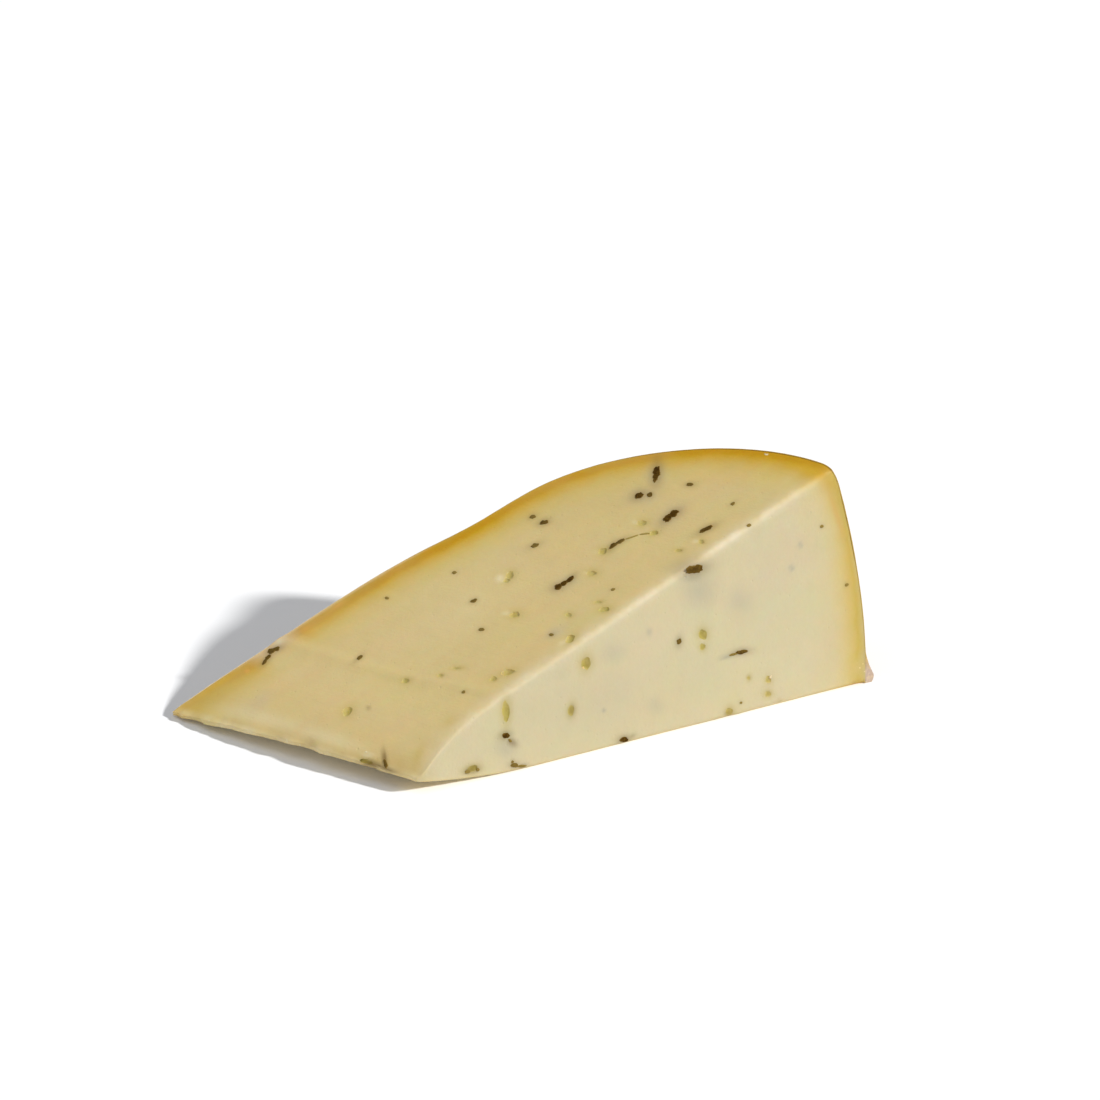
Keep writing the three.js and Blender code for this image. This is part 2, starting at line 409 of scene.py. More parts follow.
# waves, ripples and grain on the cuts, the knife's drag lines and the wandering thin end
def roughen(points, faces):
    level, upper, lower, rind = cutDistances(points)
    seed = body["seed"]
    lift = np.zeros(len(points))
    for i, (size, height) in enumerate(body["unevenness"]):
        lift += softNoise(points, size, seed + i) * height
    drag = body["drag"]
    turn = math.radians(drag["turn"])
    x, y = points[:, 0] - axisX, points[:, 1] - levelY
    along, side = -x * math.sin(turn) + y * math.cos(turn), x * math.cos(turn) + y * math.sin(turn)
    lines = softNoise(np.stack([side / drag["across"], along / drag["along"], 0 * x], -1), 1.0, seed + 4, 1)
    inside = shareOver(x / mm, drag["from"], drag["fadeIn"]) * shareOver(drag["to"], x / mm, drag["fadeOut"])
    inside = inside * (upper < drag["deepest"])
    lift += lines * inside * drag["height"]
    lift *= np.clip(rind / body["calmByRind"], 0, 1)
    toLower, above = body["restingBelow"]
    resting = (np.abs(lower) < toLower) & (points[:, 2] < above * mm)
    lift = np.where(resting, np.minimum(lift, 0) * body["restingShare"], lift)
    thin = np.clip(1 - (upper + lower) / body["bendsBelow"], 0, 1)
    bends = sum(softNoise(points, size, seed + 5 + i) * far for i, (size, far) in enumerate(body["tipBends"]))
    points = points + outwardWays(points, faces) * lift[:, None]
    return points + np.array([1.0, 0, 0]) * (bends * thin)[:, None]


bodyPoints, bodyFaces = blockCells(portionPoint, body["along"], body["across"], body["up"])
bodyPoints = roughen(softenEdges(toFrame(bodyPoints), bodyFaces), bodyFaces)
bodyTree = BVHTree.FromPolygons([tuple(p) for p in bodyPoints], [tuple(int(i) for i in f) for f in bodyFaces])
print("body laid out:", len(bodyPoints), "points")


# where a pixel of the photo meets the body: the place, the outward and the long way, and both half sizes
def spotOnBody(at, size, tilt=0.0):
    place = None
    while place is None:
        place, outward, _, _ = bodyTree.ray_cast(view["place"], pixelRay(*at))
        if place is None:
            at = [here + (middle - here) * view["missStep"] for here, middle in zip(at, photoMiddle)]
    turn = math.radians(tilt)

    def onPlane(dx, dy):
        ray = pixelRay(at[0] + dx, at[1] + dy)
        reach = (place - view["place"]).dot(outward) / ray.dot(outward)
        return view["place"] + ray * reach - place

    lengthwise = onPlane(math.cos(turn) * size[0] / 2, -math.sin(turn) * size[0] / 2)
    sideways = onPlane(math.sin(turn) * size[1] / 2, math.cos(turn) * size[1] / 2)
    first = lengthwise.normalized()
    second = outward.cross(first)
    flat = np.array([[way.dot(axis) for way in (lengthwise, sideways)] for axis in (first, second)])
    turned, half, _ = np.linalg.svd(flat)
    long = (first * turned[0, 0] + second * turned[1, 0]).normalized()
    return place, outward, long, float(half[0]), float(half[1])


# short ways to add and join nodes in any tree
class Tree:
    def __init__(self, tree):
        self.tree = tree

    def put(self, value, socket):
        if hasattr(value, "is_linked"):
            self.tree.links.new(value, socket)
        else:
            socket.default_value = value

    def node(self, kind, inputs=None, **values):
        made = self.tree.nodes.new(kind)
        for key, value in values.items():
            setattr(made, key, value)
        for key, value in (inputs or {}).items():
            self.put(value, made.inputs[key])
        return made

    def socket(self, name, kind, way="INPUT"):
        made = self.tree.interface.new_socket(name, in_out=way, socket_type="NodeSocket" + kind)
        return made.identifier

    def math(self, operation, first, second=0.0, clamp=False):
        made = self.node("ShaderNodeMath", {0: first, 1: second}, operation=operation, use_clamp=clamp)
        return made.outputs[0]

    def vector(self, operation, inputs):
        return self.node("ShaderNodeVectorMath", inputs, operation=operation).outputs

    def spread(self, value, low, high, outLow=0.0, outHigh=1.0):
        inputs = {"Value": value, "From Min": low, "From Max": high, "To Min": outLow, "To Max": outHigh}
        return self.node("ShaderNodeMapRange", inputs).outputs[0]


# Geometry Nodes: ragged lumps on points, for the truffle flecks and for the tools that open the eyes

lumpShape = {
    "grainDetail": 3.0,
    "grainRoughness": 0.6,
    "grainRange": (0.32, 0.68),  # what the noise spans, spread to -1 and 1
    "trimmed": 0.92,  # the share that the knife takes off of what stands out past the cut
}


def lumpTree():
    t = Tree(bpy.data.node_groups.new("raggedLumps", "GeometryNodeTree"))
    kinds = {"Points": "Geometry", "Detail": "Int", "Raggedness": "Float", "Grain Size": "Float",
             "Seed": "Float", "Material": "Material"}
    sockets = {name: t.socket(name, kind) for name, kind in kinds.items()}
    t.socket("Lumps", "Geometry", "OUTPUT")
    given = t.node("NodeGroupInput").outputs
    position = t.node("GeometryNodeInputPosition").outputs[0]

    def named(name, kind="FLOAT_VECTOR"):
        return t.node("GeometryNodeInputNamedAttribute", {"Name": name}, data_type=kind).outputs["Attribute"]

    def store(name, geometry, value, kind):
        inputs = {"Name": name, "Geometry": geometry, "Value": value}
        made = t.node("GeometryNodeStoreNamedAttribute", inputs, data_type=kind, domain="POINT")
        return made.outputs["Geometry"]

    def moved(geometry, offset):
        return t.node("GeometryNodeSetPosition", {"Geometry": geometry, "Offset": offset}).outputs["Geometry"]

    ball = t.node("GeometryNodeMeshIcoSphere", {"Subdivisions": given["Detail"]}).outputs["Mesh"]
    smooth = t.node("GeometryNodeSetShadeSmooth", {"Geometry": ball}).outputs["Geometry"]
    height = t.node("ShaderNodeSeparateXYZ", {0: position}).outputs["Z"]
    placed = t.node("GeometryNodeInstanceOnPoints", {
        "Points": store("spot", given["Points"], position, "FLOAT_VECTOR"),
        "Instance": store("dome", smooth, height, "FLOAT"),
        "Rotation": t.node("FunctionNodeEulerToRotation", {0: named("turn")}).outputs[0],
        "Scale": named("halfSize"),
    }).outputs["Instances"]
    real = t.node("GeometryNodeRealizeInstances", {"Geometry": placed}).outputs["Geometry"]
    away = t.vector("SUBTRACT", {0: position, 1: named("spot")})["Vector"]

    # every lump gets its own uneven outline
    grain = t.node("ShaderNodeTexNoise", {
        "Detail": lumpShape["grainDetail"],
        "Roughness": lumpShape["grainRoughness"],
        "Scale": t.math("DIVIDE", 1.0, given["Grain Size"]),
        "W": given["Seed"],
    }, noise_dimensions="4D").outputs["Fac"]
    uneven = t.spread(grain, *lumpShape["grainRange"], -1.0, 1.0)
    share = t.math("MULTIPLY", uneven, given["Raggedness"])
    ragged = moved(real, t.vector("SCALE", {0: away, "Scale": share})["Vector"])

    # the knife has taken off what stood out past the cut
    outward = named("outward")
    standing = t.vector("DOT_PRODUCT", {0: away, 1: outward})["Value"]
    over = t.math("MAXIMUM", t.math("SUBTRACT", standing, named("proud", "FLOAT")), 0.0)
    less = t.math("MULTIPLY", over, -lumpShape["trimmed"])
    trimmed = moved(ragged, t.vector("SCALE", {0: outward, "Scale": less})["Vector"])
    finish = t.node("GeometryNodeSetMaterial", {"Geometry": trimmed, "Material": given["Material"]})
    t.put(finish.outputs["Geometry"], t.node("NodeGroupOutput").inputs[0])
    return t.tree, sockets


lumps, lumpSockets = lumpTree()


# each lump has a spot, a half depth, how far its middle is sunk and how far it may stand out, in metres,
# and a share of veil, which is paste that lies thinly over it
def growLumps(name, lumpRows, settings, material):
    data = bpy.data.meshes.new(name)
    places, turns, halves, outwards = [], [], [], []
    for (place, outward, long, halfLength, halfBreadth), halfDepth, sink, _, _ in lumpRows:
        basis = Matrix((long, outward.cross(long), outward)).transposed()
        places.append(tuple(place - outward * sink))
        turns.append(tuple(basis.to_euler()))
        halves.append((halfLength, halfBreadth, halfDepth))
        outwards.append(tuple(outward))
    data.from_pydata(places, [], [])
    for key, rows in (("turn", turns), ("halfSize", halves), ("outward", outwards)):
        layer = data.attributes.new(key, "FLOAT_VECTOR", "POINT")
        layer.data.foreach_set("vector", np.array(rows, np.float32).ravel())
    made = addObject(name, data)
    setAttribute(made, "proud", [row[2] + row[3] for row in lumpRows])
    setAttribute(made, "veil", [row[4] for row in lumpRows])
    change = made.modifiers.new("lumps", "NODES")
    change.node_group = lumps
    for key, value in {**settings, "Material": material}.items():
        change[lumpSockets[key]] = value
    return plainMesh(made, name)


# Materials

# a colour read as 0 to 255 screen values, as linear light; gain takes the studio's light out again
def linear(red, green, blue, gain=1.0):
    shares = [c / 255 for c in (red, green, blue)]
    return tuple(gain * (c / 12.92 if c <= 0.04 else ((c + 0.055) / 1.055) ** 2.4) for c in shares) + (1.0,)


# the nodes of one material
class Shades(Tree):
    def __init__(self, name):
        self.material = bpy.data.materials.new(name)
        self.material.use_nodes = True
        super().__init__(self.material.node_tree)
        self.surface = self.tree.nodes["Principled BSDF"]

    def attribute(self, name):
        return self.node("ShaderNodeAttribute", attribute_name=name).outputs["Fac"]

    def objectPlace(self, scale=(1, 1, 1), turn=(0, 0, 0), kind="POINT"):
        place = self.node("ShaderNodeTexCoord").outputs["Object"]
        inputs = {"Vector": place, "Scale": scale, "Rotation": turn}
        return self.node("ShaderNodeMapping", inputs, vector_type=kind).outputs[0]

    def noise(self, place, scale, detail=2.0, roughness=0.5, distortion=0.0):
        inputs = {"Vector": place, "Scale": scale, "Detail": detail}
        inputs.update({"Roughness": roughness, "Distortion": distortion})
        return self.node("ShaderNodeTexNoise", inputs).outputs["Fac"]

    # distance to the nearest of many scattered points
    def dots(self, place, scale):
        return self.node("ShaderNodeTexVoronoi", {"Vector": place, "Scale": scale}).outputs["Distance"]

    # first times share, added to height
    def addTo(self, height, share, first):
        return self.math("ADD", height, self.math("MULTIPLY", first, share))

    def blend(self, share, first, second):
        made = self.node("ShaderNodeMix", data_type="RGBA")
        for value, socket in ((share, 0), (first, 6), (second, 7)):
            self.put(value, made.inputs[socket])
        return made.outputs[2]

    def mottled(self, colour, place):
        made = self.node("ShaderNodeGroup", node_tree=mottle)
        for key, value in (("Color", colour), ("Place", place), ("Amount", 1.0)):
            self.put(value, made.inputs[key])
        return made.outputs["Color"]

    def ramp(self, value, stops):
        made = self.node("ShaderNodeValToRGB", {"Fac": value})
        line = made.color_ramp
        line.interpolation = "LINEAR"
        while len(line.elements) < len(stops):
            line.elements.new(0.5)
        for element, (place, colour) in zip(line.elements, stops):
            element.position = place
            element.color = colour
        return made.outputs["Color"]

    def bump(self, height, strength, distance):
        inputs = {"Height": height, "Strength": strength, "Distance": distance}
        return self.node("ShaderNodeBump", inputs).outputs["Normal"]

    def set(self, **values):
        for key, value in values.items():
            self.put(value, self.surface.inputs[key.replace("_", " ")])


# clouds of three sizes and faint streaks, as scale, strength and stretch
mottleClouds = [
    (95.0, 0.045, (1, 1, 1)),
    (330.0, 0.04, (1, 1, 1)),
    (1500.0, 0.04, (1, 1, 1)),
    (430.0, 0.02, (0.1, 1, 0.1)),
]
mottleTurn = math.radians(-8)
channelShares = (1.0, 0.9, 1.3)  # how strongly red, green and blue follow the clouds


# gives a colour small clouds, each colour channel on its own
def mottleGroup():
    t = Tree(bpy.data.node_groups.new("pasteMottle", "ShaderNodeTree"))
    for name, kind in (("Color", "Color"), ("Place", "Vector"), ("Amount", "Float")):
        t.socket(name, kind)
    t.socket("Color", "Color", "OUTPUT")
    given = t.node("NodeGroupInput").outputs
    total = None
    for scale, strength, stretch in mottleClouds:
        inputs = {"Scale": stretch, "Rotation": (0.0, 0.0, mottleTurn), "Vector": given["Place"]}
        turned = t.node("ShaderNodeMapping", inputs).outputs[0]
        cloud = t.node("ShaderNodeTexNoise", {"Scale": scale, "Detail": 2.0, "Vector": turned})
        reach = [2 * share * strength for share in channelShares]
        middle = [-part / 2 for part in reach]
        centred = t.vector("MULTIPLY_ADD", {0: cloud.outputs["Color"], 1: reach, 2: middle})[0]
        total = centred if total is None else t.vector("ADD", {0: total, 1: centred})[0]
    scaled = t.vector("SCALE", {0: total, "Scale": given["Amount"]})[0]
    product = t.vector("MULTIPLY_ADD", {0: given["Color"], 1: scaled, 2: given["Color"]})[0]
    t.put(product, t.node("NodeGroupOutput").inputs[0])
    return t.tree


mottle = mottleGroup()

paste = {
    # how brightly the studio lights each cut: the photo's colours are divided by these
    "upperLight": 0.86,
    "levelLight": 1.2,
    # millimetres in from the rind's outside, and the colour there
    "upperRind": [
        (0.0, (187, 148, 44)), (1.0, (188, 143, 10)), (2.1, (188, 139, 0)), (2.9, (191, 146, 12)),
        (3.7, (197, 157, 44)), (5.0, (200, 166, 74)), (6.5, (203, 175, 97)), (8.0, (204, 180, 110)),
        (10.0, (206, 183, 119)), (13.0, (206, 184, 127)),
    ],
    "levelRind": [
        (0.0, (207, 187, 128)), (0.9, (209, 184, 104)), (1.7, (211, 182, 90)), (2.4, (216, 188, 105)),
        (3.2, (219, 192, 118)), (4.2, (220, 197, 132)), (5.5, (220, 200, 144)), (7.5, (220, 203, 155)),
        (13.0, (219, 205, 164)),
    ],
    "upperCore": (206, 185, 130),
    "upperEdgePale": (200, 178, 142),
    "rindOrange": (204, 146, 42),
    "rindOuter": (222, 192, 144),
    "rindReach": 13.0,
    # how strongly the rind is coloured, by distance from the wheel's axis in millimetres
    "rindStrength": [(0, 0.6), (12, 0.64), (16, 0.78), (20, 0.78), (23.5, 0.12), (29, 0.14), (32.5, 0.78),
                     (45, 0.8), (58, 0.86), (66, 1.0), (74, 1.0), (80, 0.93), (106, 0.92), (112, 1.06),
                     (121, 1.1)],
    "rindUneven": (0.006, 0.09),  # lumps about so many metres across, and how much they change it
    # how far in its colours begin, and how wide and strong the paler outermost band is
    "rindShift": [(0, 0.0), (12, 0.0), (16, 0.5), (20, 0.6), (24, 1.4), (31, 0.4), (58, 0.2), (64, -0.1),
                  (72, -0.35), (104, -0.4), (112, 0.0), (121, 0.0)],
    # the same at the corner where both shown cuts meet the rind, and the height and the distance over which
    # it comes in, as start and stretch
    "cornerShift": -0.85,
    "cornerHeight": (21, 13),
    "cornerDistance": (104, 6),
    "outerWidth": [(0, 0.5), (20, 0.6), (23, 1.3), (28, 1.3), (31, 0.7), (58, 0.7), (66, 0.5), (121, 0.4)],
    "outerShare": [(0, 0.7), (20, 0.7), (24, 0.85), (31, 0.7), (56, 0.6), (66, 0.05), (121, 0.0)],
    "outerUneven": (0.004, 0.5),
    # a pale painted highlight along the edge between the shown cuts, where the rounded edge catches the light
    "paintedEdgeHighlight": (232, 223, 201),
    # the painted highlight along the edge between the shown cuts: its strength by distance from the axis, its
    # width on either cut
    "edgeHighlightStrength": [(20, 0.12), (30, 0.3), (40, 0.6), (66, 0.6), (82, 0.66), (90, 0.8), (102, 0.5),
                     (108, 0.2), (112, 0.0)],
    "edgeHighlightWidth": (2.3, 1.1),
    "stains": {
        # painted shade: the paste is darkened and yellowed round each eye
        "paintedEyeShade": (186, 164, 86),
        "tanStain": (188, 160, 100),
        "oliveStain": (192, 166, 84),
        "orangeStain": (222, 164, 84),
        "goldStain": (207, 168, 46),
        # pale marks: partly real pale patches and partly painted highlights on the lit rims of eyes
        "paleStainAndHighlight": (228, 218, 182),
        "greyStain": (181, 174, 152),
        # brown stains round flecks, and painted shade in the opened eye at the thin end
        "brownStainAndShade": (112, 86, 42),
    },
    # painted light glowing through the thin end: the paste is paler where it is thinnest
    "thinEndGlow": {"thickness": 0.8, "fade": 0.5, "end": 24, "share": 0.26, "lumps": 0.003, "uneven": 0.2},
    "cutBlend": 0.9,  # millimetres over which the level cut's colours change to the other cuts'
    "sunkBelow": 0.5,  # millimetres under the cuts at which an eye's wall shows its darker inner colours, painted shade, in full
    # noise as scale, detail, roughness
    "wander": (210.0, 3.0),
    "broken": (260.0, 2.0),
    "knifeLines": (620.0, 3.0, 0.6),
    "grain": (1500.0, 3.0, 0.6),
    "sheen": (340.0, 3.0),
    "pores": 420.0,
    "bump": (0.6, 0.00013),  # strength, and height in metres
    "roughness": 0.55,
    "scatter": 0.2,
    "scatterDepth": 0.0009,
}


def pasteMaterial():
    s = Shades("cheesePaste")
    place = s.objectPlace()
    wander = s.noise(place, *paste["wander"])
    level = s.attribute("levelShare")

    # colours of the photo without the light that they were seen in
    def onUpper(colour):
        return linear(*colour, gain=1 / paste["upperLight"])

    def onLevel(colour):
        return linear(*colour, gain=1 / paste["levelLight"])

    def rind(stops, seenOn):
        return s.ramp(depth, [(far / paste["rindReach"], seenOn(colour)) for far, colour in stops])

    depth = s.math("DIVIDE", s.attribute("rindDepth"), paste["rindReach"])
    depth = s.math("ADD", depth, s.spread(wander, 0.25, 0.75, -0.035, 0.035), clamp=True)
    upper = rind(paste["upperRind"], onUpper)
    burnt = s.math("MULTIPLY", s.spread(wander, 0.52, 0.66, 0.0, 0.28), s.spread(depth, 0.02, 0.36, 1.0, 0.0))
    upper = s.blend(burnt, upper, onUpper(paste["rindOrange"]))
    atRind = s.spread(depth, 0.0, 0.28, 0.9, 0.0)
    bare = s.blend(atRind, onUpper(paste["upperCore"]), onUpper(paste["upperEdgePale"]))
    upper = s.blend(s.math("ADD", s.attribute("rindShare"), 0.0, clamp=True), bare, upper)
    upper = s.blend(s.attribute("outerBand"), upper, onUpper(paste["rindOuter"]))
    colour = s.mottled(s.blend(level, upper, rind(paste["levelRind"], onLevel)), place)
    brokenUp = s.spread(s.noise(place, *paste["broken"]), 0.35, 0.65, 0.35, 0.85)
    marks = {"paintedEdgeHighlight": paste["paintedEdgeHighlight"], **paste["stains"]}
    for name, mark in marks.items():
        share = s.attribute(name)
        # the painted edge highlight is broken up by noise
        if name == "paintedEdgeHighlight":
            share = s.math("MULTIPLY", share, brokenUp, clamp=True)
        colour = s.blend(share, colour, s.blend(level, onUpper(mark), onLevel(mark)))
    # faint lines that the knife drew across the upper cut, a soft grain, and small open pores
    turn = (0, 0, math.radians(body["drag"]["turn"]))
    drawn = s.objectPlace(scale=(1.0, 20.0, 1.0), turn=turn, kind="TEXTURE")
    height = s.math("MULTIPLY", s.noise(drawn, *paste["knifeLines"]), 0.8)
    height = s.addTo(height, 0.7, s.noise(place, *paste["grain"]))
    height = s.math("ADD", height, s.spread(s.dots(place, paste["pores"]), 0.0, 0.12, -0.9, 0.0))
    rough = (paste["roughness"] - 0.09, paste["roughness"] + 0.1)
    s.set(Base_Color=colour, Normal=s.bump(height, *paste["bump"]), IOR=1.33)
    s.set(Roughness=s.spread(s.noise(place, *paste["sheen"]), 0.3, 0.7, *rough))
    s.set(Subsurface_Weight=paste["scatter"], Subsurface_Radius=(1.0, 0.62, 0.3))
    s.set(Subsurface_Scale=paste["scatterDepth"])
    return s.material


# colours on the upper cut and on the level cut, and noise as scale, detail, roughness
# the walls go from the rim colour to darker ones deeper into the hole: painted shade
eyeWall = {
    "deep": (linear(188, 168, 78), linear(150, 130, 40)),
    "light": (linear(200, 182, 104), linear(182, 164, 78)),
    "rim": (linear(206, 186, 120), linear(190, 172, 104)),
    # brown for stains near flecks and for the painted shade inside the opened eye at the thin end
    "brown": linear(120, 98, 34),
    "cloud": (900.0, 2.0),
    "grain": (2600.0, 2.0),
    "bump": (0.25, 0.00006),
}


def eyeMaterial():
    s = Shades("eyeWall")
    place = s.objectPlace()
    cloud = s.noise(place, *eyeWall["cloud"])
    level = s.attribute("levelShare")
    deep, light, rim = (s.blend(level, *eyeWall[key]) for key in ("deep", "light", "rim"))
    # painted shade: darker deeper below the cut
    colour = s.blend(s.attribute("sunk"), rim, s.blend(s.spread(cloud, 0.35, 0.7), deep, light))
    # brown stains and painted shade darken the eye walls
    colour = s.blend(s.attribute("brownStainAndShade"), s.mottled(colour, place), eyeWall["brown"])
    s.set(Base_Color=colour, Roughness=s.spread(cloud, 0.3, 0.7, 0.32, 0.5))
    s.set(Subsurface_Weight=0.35, Subsurface_Radius=(1.0, 0.7, 0.25), Subsurface_Scale=0.0015, IOR=1.3)
    s.set(Normal=s.bump(s.noise(place, *eyeWall["grain"]), *eyeWall["bump"]))
    return s.material


crumb = {
    "pale": linear(232, 218, 178),
    "tan": linear(218, 188, 126),
}


def crumbMaterial():
    s = Shades("pasteCrumb")
    place = s.objectPlace()
    colour = s.blend(s.spread(s.noise(place, 160.0), 0.45, 0.6), crumb["pale"], crumb["tan"])
    s.set(Base_Color=s.mottled(colour, place), Roughness=0.6, IOR=1.33)
    return s.material


truffle = {
    "dark": linear(58, 34, 2),
    "light": linear(104, 78, 24),
    "veil": linear(166, 144, 78),
    "rim": linear(140, 112, 56),
    "rimShare": 0.85,
    "vein": (1700.0, 4.0, 0.65, 0.8),
    "grain": (3200.0, 3.0),
    "bump": (0.5, 0.00007),
}


def truffleMaterial():
    s = Shades("truffle")
    place = s.objectPlace()
    vein = s.noise(place, *truffle["vein"])
    colour = s.ramp(vein, [(0.35, truffle["dark"]), (0.72, truffle["light"])])
    atRim = s.spread(s.attribute("dome"), 0.25, 0.66, truffle["rimShare"], 0.0)
    colour = s.blend(atRim, colour, truffle["rim"])
    colour = s.blend(s.attribute("veil"), colour, truffle["veil"])
    s.set(Base_Color=colour, Roughness=s.spread(vein, 0.3, 0.7, 0.55, 0.8))
    s.set(Normal=s.bump(s.noise(place, *truffle["grain"]), *truffle["bump"]), IOR=1.12)
    return s.material


coat = {
    "amber": linear(208, 164, 78),
    "deep": linear(190, 140, 50),
    "pale": linear(206, 182, 152),
    "lip": linear(186, 162, 142),
    "goldBorder": linear(190, 158, 72),
    "paleBorder": linear(246, 224, 178),
    "speck": linear(96, 66, 30),
    "dent": linear(150, 100, 32),
    "roughness": 0.42,
    # noise as scale, detail, roughness, distortion
    "broad": (60.0, 4.0, 0.6, 0.6),
    "fine": (700.0, 4.0, 0.6),
    "dents": (150.0, 3.0, 0.5, 0.4),
    "cloth": (1100.0, 2.0),
    "specks": 130.0,
    "pits": 520.0,
    "bump": (0.4, 0.00018),
    "along": 230,
    "through": 3,
    "up": 84,
    "denserBelow": 1.3,
    # millimetres
    "thickness": 0.16,
    "waves": [(9.0, 0.1), (2.6, 0.03)],  # size across and height
    "inset": 0.06,
    "overhang": 0.02,
    "overhangGrain": 1.7,
    "wornBorder": 0.5,
    "borderWear": 0.45,
    "borderWidth": 0.35,
    # where the golden coat is missing at the upper cut: distance from the axis, width and depth
    "gap": (26.0, 2.6, 2.5),
    "palePlaces": [(20, 1.0), (45, 0.7), (66, 0.0)],  # how pale its border is, by distance from the axis
    "sharpAngle": math.radians(50),
}


def coatMaterial():
    s = Shades("rindCoat")
    place = s.objectPlace()
    fine, dents = s.noise(place, *coat["fine"]), s.noise(place, *coat["dents"])
    colour = s.ramp(s.noise(place, *coat["broad"]), [(0.3, coat["deep"]), (0.62, coat["amber"])])
    colour = s.blend(s.spread(fine, 0.45, 0.8, 0.0, 0.3), colour, coat["pale"])
    colour = s.blend(s.spread(dents, 0.34, 0.5, 0.4, 0.0), colour, coat["dent"])
    cutBorder = s.blend(s.attribute("paleBorder"), coat["goldBorder"], coat["paleBorder"])
    colour = s.blend(s.attribute("border"), colour, cutBorder)
    colour = s.blend(s.attribute("pale"), colour, coat["pale"])
    lipColour = s.blend(s.spread(fine, 0.45, 0.6), coat["lip"], coat["pale"])
    colour = s.blend(s.attribute("lip"), colour, lipColour)
    colour = s.blend(s.spread(s.dots(place, coat["specks"]), 0.03, 0.07, 0.75, 0.0), colour, coat["speck"])
    height = s.addTo(s.math("MULTIPLY", s.noise(place, *coat["cloth"]), 0.4), 0.6, fine)
    height = s.math("ADD", height, s.spread(dents, 0.3, 0.7, -1.4, 1.4))
    height = s.math("ADD", height, s.spread(s.dots(place, coat["pits"]), 0.0, 0.3, -0.8, 0.0))
    rough = s.spread(fine, 0.3, 0.7, coat["roughness"] - 0.08, coat["roughness"] + 0.12)
    s.set(Base_Color=colour, Roughness=rough, Normal=s.bump(height, *coat["bump"]))
    s.set(IOR=1.45, Coat_Weight=0.12, Coat_Roughness=0.25)
    s.set(Subsurface_Weight=0.12, Subsurface_Radius=(1.0, 0.6, 0.25), Subsurface_Scale=0.0012)
    return s.material


pasteLook, eyeLook, crumbLook = pasteMaterial(), eyeMaterial(), crumbMaterial()
truffleLook, coatLook = truffleMaterial(), coatMaterial()
print("materials made")


# Marks are read off the photo: x and y of the middle, length and breadth in pixels, and tilt in degrees,
# rising to the right. Flecks and soft marks have a sixth number, which their comment names.

markDepth = 0.004  # how far into the paste a mark's colour fades, in metres

# Eyes: the holes that the cuts opened
eyes = {
    "shown": [
        (346.8, 711.4, 10, 7, 35), (405, 680.4, 7, 4.5, 10), (509.5, 575, 8, 6, 35),
        (506, 580, 7, 4.5, 20), (514.3, 614.3, 10, 6, 10), (591.3, 573, 9, 5, 0),
        (602, 551, 9, 5.5, 10), (641.4, 523, 9, 5, 5), (653.6, 532.8, 8, 4, 15), (568.3, 615, 6, 4, 0),
        (604.2, 609.4, 10, 5, 10), (598, 602, 7, 2.5, 5), (570, 638.8, 11, 6, 30),
        (507.7, 672, 11, 5, 15), (493, 678.8, 7, 4, 20), (457, 668, 8, 2.5, 5), (440, 675.3, 5, 3, 0),
        (700.8, 541.5, 6, 4, 0), (678.6, 550.4, 6, 3, 0), (369, 762.3, 17, 5, -13),
        (506.2, 711.4, 19, 6.5, 90), (571.4, 710.6, 10, 5.5, 82), (586, 663.5, 11, 8, 80),
        (703, 634.6, 9, 7, 90), (702.6, 646.8, 6, 5, 90), (768.6, 679.6, 6, 5, 90),
        (768, 694, 6, 5, 0), (729.5, 711.6, 7, 6, 90), (749, 678, 4, 3, 90), (472.5, 769, 10, 6, 20),
    ],
    "hidden": 14,
    "hiddenLongest": 0.0013,
    "opening": 1.14,  # the hole against the mark
    "depthShare": 0.46,  # half depth against half breadth
    "deepest": 0.0008,
    "saucer": 0.00012,  # how far the paste dips round an eye
    "saucerReach": 1.7,
    "shade": 0.66,  # how strongly the painted shade round an eye darkens the paste
    "shadeReach": 1.85,
    "lump": {"Detail": 3, "Raggedness": 0.24, "Grain Size": 0.0013, "Seed": 2.0},
    "seed": 21,
}

